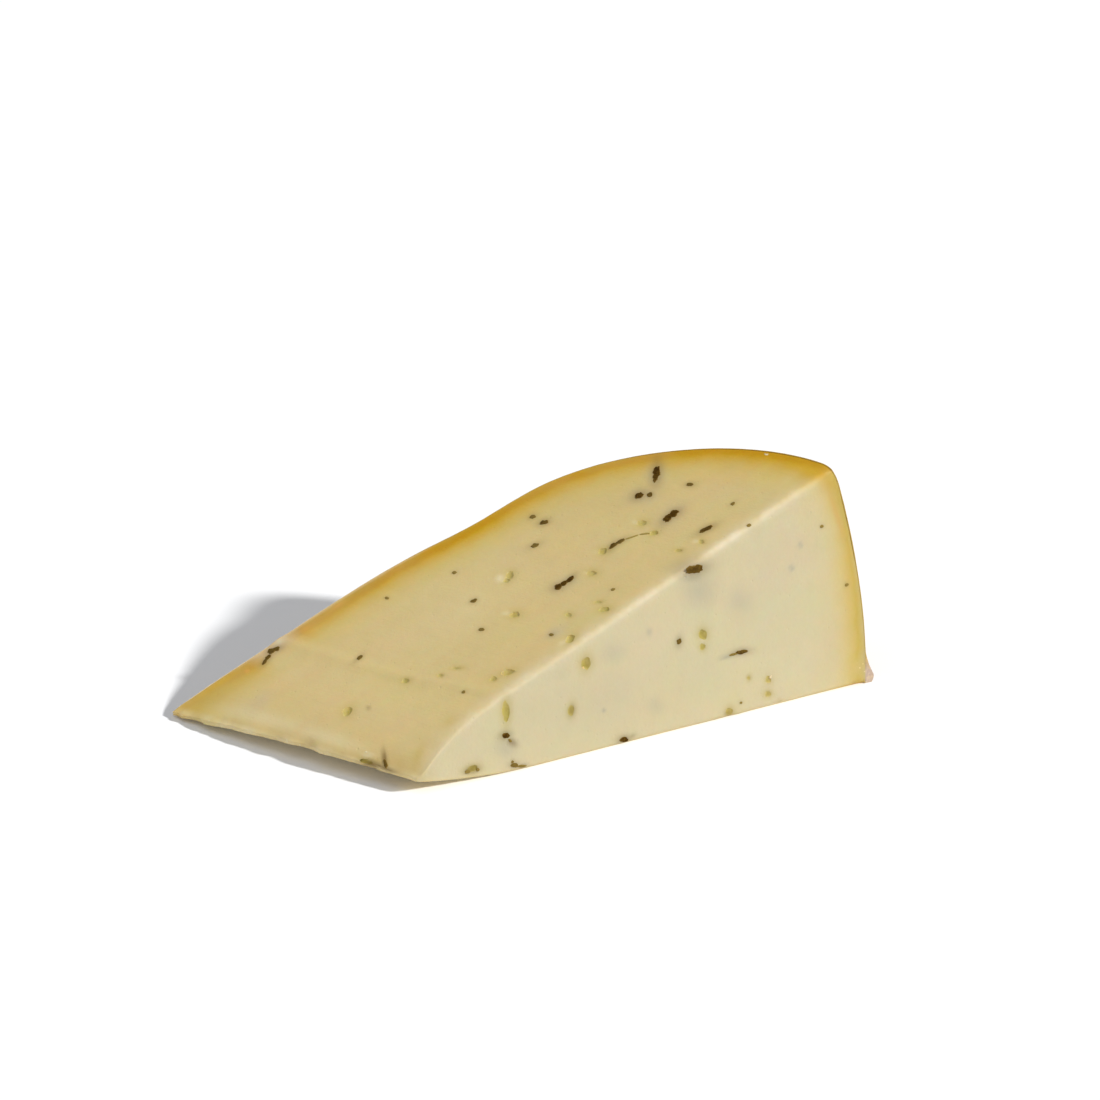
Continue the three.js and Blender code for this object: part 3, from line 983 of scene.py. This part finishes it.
# Truffle flecks, with the share of paste that lies thinly over each
flecks = {
    "shown": [
        (656.4, 472.9, 17, 7.4, 84, 0), (639.3, 495.4, 11, 6.2, 20, 0), (650, 494.7, 6, 5, 30, 0.15),
        (690, 484.6, 7.4, 3.8, 5, 0.25), (668, 518, 12, 6, 40, 0), (673.6, 514, 12, 6, 30, 0),
        (707, 528.8, 15, 4.4, 25, 0.06), (733.1, 503.6, 5, 2.8, 35, 0.5),
        (748.6, 525.4, 4.5, 3, 15, 0.55), (613, 545.5, 9, 4.4, 36, 0.1),
        (620, 541.6, 12, 3.6, 26, 0.2), (633, 536.8, 14, 1.4, 18, 1.0),
        (645.5, 533.8, 11, 1.2, 8, 1.0), (558.2, 586.8, 9, 5, 20, 0), (564, 583.4, 8, 4, 35, 0),
        (570, 579.4, 10, 4.6, 42, 0), (532.7, 516.8, 7, 4.2, 15, 0.42), (544.2, 522.2, 9, 5, 15, 0.15),
        (535, 545.3, 9.6, 4.2, 22, 0.38), (454.2, 572.8, 4.6, 2.8, 5, 0.62),
        (473.8, 600.8, 5.8, 3.4, 20, 0.3), (481.3, 629.7, 5.6, 3.4, 10, 0.5),
        (551.7, 634.7, 5.2, 3.2, 15, 0.45), (613.3, 589.5, 5, 2.4, 15, 0.65),
        (359.5, 658, 6.8, 3.2, 35, 0.3), (463.7, 692, 4.6, 2.8, 20, 0.55),
        (271, 651.2, 8, 4.8, 20, 0.14), (276.6, 648.8, 8, 4.2, 25, 0.14), (268, 657.6, 7, 4, 50, 0.1),
        (264.8, 662, 8, 3.8, 50, 0.16), (387, 598, 4, 2.6, 0, 0.6), (385.4, 764, 11, 3.4, -78, 0.2),
        (695.6, 569.2, 18, 8.4, 13, 0.06), (678.8, 641.4, 7.5, 4.4, 80, 0.2),
        (741.5, 651.9, 12, 4.2, 8, 0.08), (733.5, 654.4, 9, 2.4, 14, 0.5),
        (821.7, 526.4, 3.6, 2.6, 20, 0.62), (846.5, 584.8, 4, 3.2, 20, 0.62),
        (505.5, 735.5, 8, 5.6, 10, 0), (510, 740.5, 4.4, 3, -40, 0.5), (514.5, 765, 7, 4.8, 0, 0.3),
        (512.4, 761.6, 3.6, 3, 60, 0.45), (521.5, 766, 9, 2.4, 4, 0.5), (624.5, 739.6, 9, 5.5, 15, 0),
        (467.6, 771.6, 5, 3.4, 20, 0.6), (478, 769.6, 3.4, 3, 60, 0.6), (740.8, 702.5, 3, 2.4, 0, 0.6),
    ],
    "hidden": 30,
    "hiddenLongest": 0.0014,
    "hiddenVeil": 0.2,
    "depthShare": 0.5,
    "leastDepth": 0.0002,
    "sink": 0.25,
    "proud": (0.00008, 0.00002),  # how far shown flecks and those underneath stand out of the cut
    "stainReach": 1.85,  # the brown stain's radius against the fleck's own
    "stainShare": 0.52,
    "lump": {"Detail": 4, "Raggedness": 0.32, "Grain Size": 0.001, "Seed": 5.0},
    "seed": 8,
}

# Soft marks, with their strength. Grey ones are flecks that lie under the surface.
stains = {
    "greyStain": [
        (700, 590, 34, 34, 0, 0.5), (740, 602, 26, 26, 0, 0.36), (656, 706, 22, 22, 0, 0.36),
        (612, 653, 26, 22, 0, 0.34), (562, 675, 22, 16, 0, 0.22), (261, 701, 24, 16, 40, 0.22),
        (505, 748, 24, 22, 0, 0.5), (649.3, 632, 6, 8, 0, 0.6), (603.8, 710.5, 5, 5, 0, 0.9),
        (656, 475, 24, 22, 80, 0.42), (643, 496, 34, 18, 5, 0.3), (670, 516, 34, 20, 35, 0.3),
        (565, 583, 30, 16, 30, 0.25), (556, 632, 22, 12, 20, 0.4), (726, 657, 16, 5, 14, 0.7),
        (694, 578, 26, 12, 0, 0.6), (800.5, 545, 5, 5, 0, 0.8), (791.7, 568, 6, 5, 0, 0.9),
        (600, 706, 230, 80, 15, 0.16),
    ],
    # brown stains, and painted shade over the opened eye at the lowest corner of the thin end
    "brownStainAndShade": [
        (368.5, 707.8, 5, 5, 0, 0.4), (384.4, 758.5, 18, 5, -84, 0.9), (387, 769, 20, 4, -18, 0.75),
        (371, 763.4, 20, 6, -13, 0.9), (379, 765.5, 12, 4, -15, 0.8), (512, 742, 13, 8, -40, 0.6),
        (358, 659, 15, 5, 32, 0.35), (522, 766, 12, 5, 8, 0.4), (632, 736, 9, 5, 20, 0.4),
        (472, 770, 16, 7, 10, 0.5), (572, 710.6, 11, 7, 82, 0.4), (729, 714, 8, 5, 0, 0.5),
    ],
    "oliveStain": [
        (828, 474, 7, 8, 0, 0.7), (845, 506, 56, 10, -68, 0.35), (208, 700, 84, 24, 34, 0.65),
        (610, 490, 170, 40, 14, 0.2), (418, 755, 22, 9, 64, 0.5), (449, 722, 16, 9, 35, 0.35),
        (410, 775, 14, 7, -20, 0.5),
    ],
    "goldStain": [
        (216, 685, 52, 7, 33, 0.55), (179, 710, 20, 8, 36, 0.5), (812, 471, 40, 14, -18, 0.6),
        (829, 483, 12, 20, 20, 0.45),
    ],
    "orangeStain": [
        (247, 671, 5, 4, 0, 0.6), (306, 629, 10, 6, 35, 0.3), (338, 605, 16, 4, 36, 0.4),
        (838, 518, 56, 6, -72, 0.4),
    ],
    "tanStain": [
        (779.5, 700.5, 5, 4, 0, 0.6), (190, 716, 30, 6, -6, 0.5), (232, 722, 44, 7, -12, 0.35),
        (290, 738, 60, 8, -19, 0.3), (345, 755, 60, 12, -17, 0.5), (400, 766, 50, 24, -20, 0.5),
        (412, 770, 24, 14, 50, 0.5),
    ],
    # pale patches, and painted highlights on the lit side of eye rims
    "paleStainAndHighlight": [
        (788, 479, 26, 12, 30, 0.12), (455, 612, 170, 60, 30, 0.14), (265, 718, 80, 14, -14, 0.3),
        (330, 738, 70, 14, -17, 0.3), (368, 755, 14, 5, -10, 0.5), (858, 668, 20, 9, 80, 0.2),
        (500, 578.6, 10, 9, 30, 0.55), (506, 613, 10, 5, 10, 0.4), (585, 573, 6, 4, 0, 0.2),
        (596, 552, 6, 5, 0, 0.2), (635, 522, 6, 5, 0, 0.3), (562.5, 642.5, 10, 5, 30, 0.4),
        (695.7, 541, 7, 4, 10, 0.4), (770, 677, 7, 7, 0, 0.6), (703, 641, 7, 10, 0, 0.5),
        (279, 642, 11, 7, 40, 0.6),
    ],
}

# Small loose crumbs of paste that cling to the edges and the upper cut
crumbs = {
    "shown": [
        (365, 752.5, 4.5, 3.4, 20), (287, 741, 3.5, 2.2, -20), (766, 454.4, 12, 4, -14),
        (300, 745, 3, 1.6, -20), (318, 750.5, 2.6, 1.6, -20), (209, 721, 2.6, 1.8, -10),
        (863.5, 663, 3.4, 2.6, 60), (860, 668, 3.4, 2.8, 10), (865, 671, 2.8, 2.4, 0),
        (857, 663, 2, 1.6, 0), (771, 677, 3.4, 2.6, 50), (583.5, 668, 3, 2.4, 50),
    ],
    "depthShare": 0.55,
    "sink": 0.5,
    "proud": 0.00022,
    "lump": {"Detail": 3, "Raggedness": 0.5, "Grain Size": 0.0004, "Seed": 9.0},
}

# where the lower cut's seeded spots may lie, in millimetres from the axis, the level cut and the rind
underside = {
    "x": (38, 108),
    "y": (4, 50),
    "fromRind": 5,
    "lengthShare": (0.35, 1.0),
    "breadthShare": (0.4, 0.8),
}


# seeded spots on the lower cut, which the photo doesn't show
def hiddenSpots(settings):
    draw = random.Random(settings["seed"])
    outline = rimOutline(40)
    spots = []
    while len(spots) < settings["hidden"]:
        x, y = draw.uniform(*underside["x"]), draw.uniform(*underside["y"])
        if distanceToOutline(np.array([x]), np.array([y]), outline)[0] < underside["fromRind"]:
            continue
        length = draw.uniform(*underside["lengthShare"]) * settings["hiddenLongest"]
        turn = draw.uniform(0, math.pi)
        long = Vector((math.cos(turn), math.sin(turn), 0))
        breadth = length * draw.uniform(*underside["breadthShare"])
        spots.append((Vector(toFrame([x, y, 0.0])), Vector((0, 0, -1)), long, length, breadth))
    return spots


def shownSpots(rows):
    return [spotOnBody(row[:2], row[2:4], row[4]) for row in rows]


def grown(spot, share):
    return spot[:3] + (spot[3] * share, spot[4] * share)


eyeSpots = shownSpots(eyes["shown"]) + hiddenSpots(eyes)
fleckSpots = shownSpots(flecks["shown"]) + hiddenSpots(flecks)
crumbSpots = shownSpots(crumbs["shown"])
fleckVeils = [row[5] for row in flecks["shown"]] + [flecks["hiddenVeil"]] * flecks["hidden"]


# 1 at a spot's middle, falling to 0 well outside its oval
def ovalShare(points, spot, grow=1.0):
    place, outward, long, halfLength, halfBreadth = spot
    away = points - np.array(place)
    a = away @ np.array(long) / (halfLength * grow)
    b = away @ np.array(outward.cross(long)) / (halfBreadth * grow)
    c = away @ np.array(outward) / markDepth
    return np.exp(-(a * a + b * b + c * c))


# attributes that the paste's material reads, worked out from where each point lies
def paintBody(piece):
    points = vertexArray(piece.data)
    level, upper, lower, rind = cutDistances(points)
    x, _, z = fromFrame(points).T
    axisDistance = np.hypot(x, z)

    def byDistance(key):
        return np.interp(axisDistance, *zip(*paste[key]))

    atCorner = shareOver(z, *paste["cornerHeight"]) * shareOver(axisDistance, *paste["cornerDistance"])
    shift = byDistance("rindShift") + atCorner * paste["cornerShift"]
    setAttribute(piece, "rindDepth", np.maximum(rind - shift, 0))
    lumps, change = paste["outerUneven"]
    outer = byDistance("outerWidth") * (1 + softNoise(points, lumps, 33) * change)
    setAttribute(piece, "outerBand", np.clip(1.1 - rind / outer, 0, 1) * byDistance("outerShare"))
    onLevel = (np.minimum(np.abs(upper), np.abs(lower)) - np.abs(level)) / paste["cutBlend"] * 0.5 + 0.5
    setAttribute(piece, "levelShare", np.clip(onLevel, 0, 1))
    # painted highlight along the edge between the shown cuts, strongest where they meet
    strength = np.interp(x, *zip(*paste["edgeHighlightStrength"]))
    toEdge = np.maximum(np.abs(level) / paste["edgeHighlightWidth"][0], np.abs(upper) / paste["edgeHighlightWidth"][1])
    setAttribute(piece, "paintedEdgeHighlight", np.exp(-(toEdge ** 2)) * strength)
    lumps, change = paste["rindUneven"]
    setAttribute(piece, "rindShare", byDistance("rindStrength") + softNoise(points, lumps, 31) * change)
    # painted shade round each eye
    marks = [(grown(spot, eyes["shadeReach"]), eyes["shade"], "paintedEyeShade") for spot in eyeSpots]
    for spot, veil in zip(fleckSpots, fleckVeils):
        marks.append((grown(spot, flecks["stainReach"]), flecks["stainShare"] * (1 - veil), "brownStainAndShade"))
    for kind, rows in stains.items():
        marks += [(spot, row[5], kind) for spot, row in zip(shownSpots(rows), rows)]
    painted = {kind: np.zeros(len(points)) for kind in paste["stains"]}
    for spot, share, kind in marks:
        painted[kind] = np.maximum(painted[kind], ovalShare(points, spot) * share)
    # painted light glowing through the thin end, paler where the paste is thinnest
    rim = paste["thinEndGlow"]
    thin = np.exp(-((np.maximum(upper + lower - rim["thickness"], 0) / rim["fade"]) ** 2)) * (x < rim["end"])
    thin = thin * (rim["share"] + softNoise(points, rim["lumps"], 35) * rim["uneven"])
    painted["paleStainAndHighlight"] = np.maximum(painted["paleStainAndHighlight"], thin)
    # how far below the cuts a point lies, which darkens the eye walls as painted shade
    nearestCut = np.minimum(np.minimum(np.abs(level), np.abs(upper)), np.abs(lower))
    setAttribute(piece, "sunk", np.clip(nearestCut / paste["sunkBelow"], 0, 1))
    for kind, values in painted.items():
        setAttribute(piece, kind, values)


dips = sum(ovalShare(bodyPoints, spot, eyes["saucerReach"]) for spot in eyeSpots) * eyes["saucer"]
cheese = meshFrom("cheeseBody", bodyPoints - outwardWays(bodyPoints, bodyFaces) * dips[:, None], bodyFaces)
cheese.data.materials.append(pasteLook)
cheese.data.materials.append(eyeLook)
openings = [
    (grown(spot, eyes["opening"]), min(spot[4] * eyes["depthShare"], eyes["deepest"]), 0.0, 1.0, 0.0)
    for spot in eyeSpots
]
cutters = growLumps("eyeCutters", openings, eyes["lump"], eyeLook)
opened = cheese.modifiers.new("openEyes", "BOOLEAN")
opened.object = cutters
opened.operation = "DIFFERENCE"
opened.solver = "MANIFOLD"
opened.material_mode = "TRANSFER"
cheese = plainMesh(cheese, "cheeseBody")
bpy.data.objects.remove(cutters)
cheese.data.set_sharp_from_angle(angle=body["sharpAngle"])
paintBody(cheese)
print("body cut:", len(cheese.data.polygons), "faces,", [m.name for m in cheese.data.materials])

fleckRows = []
for index, (spot, veil) in enumerate(zip(fleckSpots, fleckVeils)):
    depth = spot[4] * flecks["depthShare"] + flecks["leastDepth"]
    proud = flecks["proud"][0 if index < len(flecks["shown"]) else 1]
    fleckRows.append((spot, depth, spot[4] * flecks["sink"], proud, veil))
truffleFlecks = growLumps("truffleFlecks", fleckRows, flecks["lump"], truffleLook)
crumbRows = [
    (spot, spot[4] * crumbs["depthShare"], spot[4] * crumbs["sink"], crumbs["proud"], 0.0)
    for spot in crumbSpots
]
pasteCrumbs = growLumps("pasteCrumbs", crumbRows, crumbs["lump"], crumbLook)
print("truffle flecks:", len(truffleFlecks.data.polygons), "faces")


# Coat: the thin skin over the wheel's flat side and round wall, with its lip at the lowest corner

lip = {
    "reach": 1.85,
    "top": 6.6,
    "middle": 1.2,
    "length": 8.0,
    "ragged": 0.45,
    "grain": 1.3,
    "curl": 1.5,
    "rise": 1.5,  # powers of its fall upwards and along the wheel
    "fall": 1.2,
    "foot": 0.25,  # how much it draws in again at the floor
    "from": 90,  # only this far from the axis and beyond
    "colourShare": 1.6,
}
coatWay = 155  # how long the coat's way is, in millimetres
coatTurn = 95 / coatWay  # the share of that way at which it leaves the flat side for the round wall
coatHeight = 44  # how high the coat stands at the round wall


# s runs from the thin end over the flat side and down the round wall, t out through the coat, u upwards
def coatBase(s, u):
    onSide = s < coatTurn
    along = np.where(onSide, s / coatTurn, 1.0)
    across = np.where(onSide, 1.0, (1 - s) / (1 - coatTurn))
    return portionPoint(along, across, u)


def unit(ways):
    return ways / np.maximum(np.linalg.norm(ways, axis=-1, keepdims=True), 1e-9)


def lipShare(points):
    x, y, z = points.T
    rising = np.clip((lip["top"] - z) / (lip["top"] - lip["middle"]), 0, 1) ** lip["rise"]
    foot = 1 - lip["foot"] * np.clip(1 - z / lip["middle"], 0, 1) ** 2
    along = np.clip(1 - y / lip["length"], 0, 1) ** lip["fall"]
    return np.where(z < lip["middle"], foot, rising) * along * (x > lip["from"])


def coatPoint(s, t, u):
    u = u ** coat["denserBelow"]
    small = 0.001
    base = coatBase(s, u)
    way = unit(coatBase(np.minimum(s + small, 1), u) - coatBase(np.maximum(s - small, 0), u))
    upwards = unit(coatBase(s, np.minimum(u + small, 1)) - coatBase(s, np.maximum(u - small, 0)))
    outward = unit(np.cross(upwards, way))
    waves = sum(plainNoise(base, size) * height for size, height in coat["waves"])
    border = np.minimum(np.minimum(u, 1 - u) * coatHeight, (1 - s) * coatWay) / coat["wornBorder"]
    thick = (coat["thickness"] + waves) * (1 - coat["borderWear"] * np.exp(-border**2))
    points = base + outward * (coat["inset"] * (t - 1) + thick * t)[:, None]
    over = coat["overhang"] * (1 + plainNoise(base, coat["overhangGrain"]))
    points += upwards * (over * (u >= 1))[:, None] + way * (over * (s >= 1))[:, None]
    flare = lipShare(base) * t
    ragged = np.array([noise.fractal(Vector(p) / lip["grain"], 1.0, 2.0, 3) for p in points]) * lip["ragged"]
    points[:, 0] += flare * (lip["reach"] + ragged)
    points[:, 1] += flare * ragged * np.exp(-((base[:, 1] / lip["curl"]) ** 2))
    points[:, 2] = np.maximum(points[:, 2], 0.0)
    return points


# attributes that the coat's material reads: its cut borders, where they are pale, and the lip
def paintCoat(piece):
    local = fromFrame(vertexArray(piece.data))
    x, y, z = local.T
    across = np.clip(y / wheel["halfHeight"], 0, 1)
    atUpper, atLower = np.abs(upperCut(x, across) - z), np.abs(z - lowerCut(x, across))
    toCut = np.minimum(np.minimum(atUpper, atLower), np.abs(y))
    setAttribute(piece, "border", np.exp(-((toCut / coat["borderWidth"]) ** 2)))
    setAttribute(piece, "paleBorder", np.interp(np.hypot(x, z), *zip(*coat["palePlaces"])))
    middle, width, depth = coat["gap"]
    setAttribute(piece, "pale", np.exp(-(((x - middle) / width) ** 2)) * np.clip(1 - atUpper / depth, 0, 1))
    setAttribute(piece, "lip", np.clip(lipShare(local) * lip["colourShare"], 0, 1))


points, faces = blockCells(coatPoint, coat["along"], coat["through"], coat["up"])
rindCoat = meshFrom("rindCoat", toFrame(points), faces)
rindCoat.data.materials.append(coatLook)
paintCoat(rindCoat)
rindCoat.data.set_sharp_from_angle(angle=coat["sharpAngle"])
print("rind coat:", len(rindCoat.data.polygons), "faces")


# Studio: plain pale floor, soft light from the right and front

studio = {
    "floorSize": 8.0,
    "floorHeight": -0.00007,  # just under the resting face
    "floorColour": linear(251, 251, 251),
    "sky": 0.25,
    # degrees from +X, degrees above the floor, softness in degrees, strength, what it lights, and whether it
    # casts shadows; the floor takes its longer shadow from lowKey
    "lights": {
        "key": (-52.0, 43.0, 8.0, 2.55, "cheese", True),
        "lowKey": (-56.0, 27.5, 4.0, 4.35, "floor", True),
        "fill": (-155.0, 62.0, 70.0, 0.72, "cheese", True),
        "floorFill": (-155.0, 62.0, 70.0, 0.72, "floor", False),
    },
    "floorTint": (0.95, 0.99, 1.06),  # takes the cheese's warm glow out of its shadow
}


def addFloor():
    half, low = studio["floorSize"] / 2, studio["floorHeight"]
    corners = [(-half, -half, low), (half, -half, low), (half, half, low), (-half, half, low)]
    floor = meshFrom("floor", corners, [(0, 1, 2, 3)])
    s = Shades("floorPaint")
    s.set(Base_Color=studio["floorColour"], Roughness=0.9, Specular_IOR_Level=0.1)
    floor.data.materials.append(s.material)
    return floor


def addLights(groups):
    for name, (azimuth, height, softness, strength, lit, casts) in studio["lights"].items():
        a, e = math.radians(azimuth), math.radians(height)
        light = bpy.data.lights.new(name, "SUN")
        light.energy = strength
        light.angle = math.radians(softness)
        light.color = (1.0, 1.0, 1.0) if casts else studio["floorTint"]
        lamp = addObject(name, light)
        towards = Vector((math.cos(a) * math.cos(e), math.sin(a) * math.cos(e), math.sin(e)))
        lamp.location = towards
        lamp.rotation_euler = towards.to_track_quat("Z", "Y").to_euler()
        receivers = bpy.data.collections.new(name + "Lights")
        for piece in groups[lit]:
            receivers.objects.link(piece)
        lamp.light_linking.receiver_collection = receivers
        if not casts:
            lamp.light_linking.blocker_collection = receivers


world = bpy.data.worlds.new("studio")
bpy.context.scene.world = world
world.use_nodes = True
world.node_tree.nodes["Background"].inputs["Color"].default_value = (1.0, 1.0, 1.0, 1.0)
world.node_tree.nodes["Background"].inputs["Strength"].default_value = studio["sky"]
addLights({"cheese": [cheese, pasteCrumbs, truffleFlecks, rindCoat], "floor": [addFloor()]})
bpy.context.scene.view_settings.view_transform = "Standard"
print("studio set")

slots = [(cheese, "paste"), (pasteCrumbs, "paste"), (truffleFlecks, "truffle"), (rindCoat, "rind_coat")]
for piece, slot in slots:
    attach(piece, "root")
    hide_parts("cheese_wedge")
